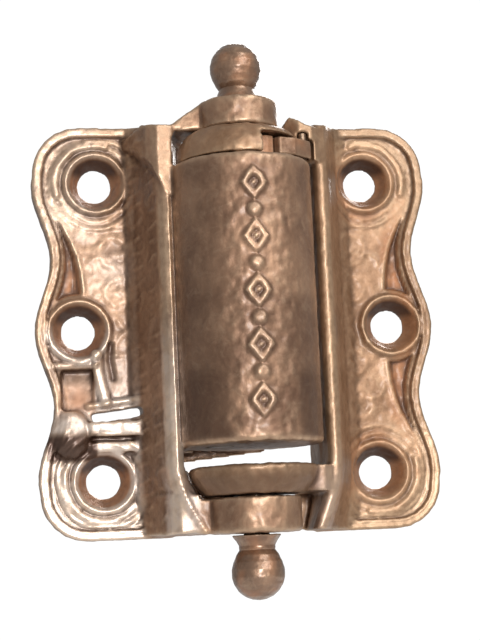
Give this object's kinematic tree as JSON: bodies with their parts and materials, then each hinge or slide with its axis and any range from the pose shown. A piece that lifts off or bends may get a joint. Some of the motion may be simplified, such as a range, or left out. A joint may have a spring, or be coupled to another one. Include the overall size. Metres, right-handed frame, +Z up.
{
  "type": "spring screen door hinge",
  "caption": "Cast-iron full-surface screen-door hinge with wavy ornamented leaves, spring barrel, ratchet tension adjuster and ball-tipped pintles.",
  "frame": {"origin": "on the hinge axis, midway between the two ball tips, which is also the middle of the overall box", "axes": "+Z up along the hinge axis, +X towards the jamb leaf, -Y towards the front, +Y towards the surface the leaves are screwed to"},
  "size_m": [0.0728, 0.0258, 0.0984],
  "materials": {
    "jamb_iron": "oiled brown patina, pitted",
    "door_iron": "oiled brown patina with worn edges",
    "ball_iron": "smooth, handled",
    "spring_steel": "oil-blackened",
    "pin_steel": "dull"
  },
  "bodies": {
    "jamb": {"jamb_leaf": "jamb_iron", "pawl_pivot_pin": "pin_steel"},
    "door": {"door_leaf": "door_iron", "upper_pintle": "ball_iron", "lower_pintle": "ball_iron", "upper_pintle_peg": "pin_steel", "lower_pintle_peg": "pin_steel", "spring_anchor_plug": "pin_steel", "anchor_plug_rivet": "pin_steel"},
    "ratchet": {"tension_ratchet": "door_iron", "spring_arbor": "pin_steel", "arbor_cross_pin": "pin_steel", "torsion_spring": "spring_steel"},
    "pawl": {"ratchet_pawl": "door_iron"}
  },
  "joints": [
    {"name": "door_leaf_swing", "type": "hinge", "parent": "jamb", "child": "door", "pos_m": [0, 0, 0], "axis": [0, 0, 1], "range_deg": [0, 140], "stiffness_Nm_per_rad": 0.5, "springref_deg": -57.3, "deforming": ["torsion_spring"]},
    {"name": "tension_ratchet_turn", "type": "hinge", "parent": "jamb", "child": "ratchet", "pos_m": [0, 0, 0], "axis": [0, 0, -1], "range_deg": [0, 28]},
    {"name": "pawl_lift", "type": "hinge", "parent": "jamb", "child": "pawl", "pos_m": [0.011, -0.0026, 0], "axis": [0, 0, 1], "range_deg": [0, 11]}
  ],
  "couplings": [
    {"joint": "pawl_lift", "follows": "tension_ratchet_turn", "ratio": 0.36}
  ]
}
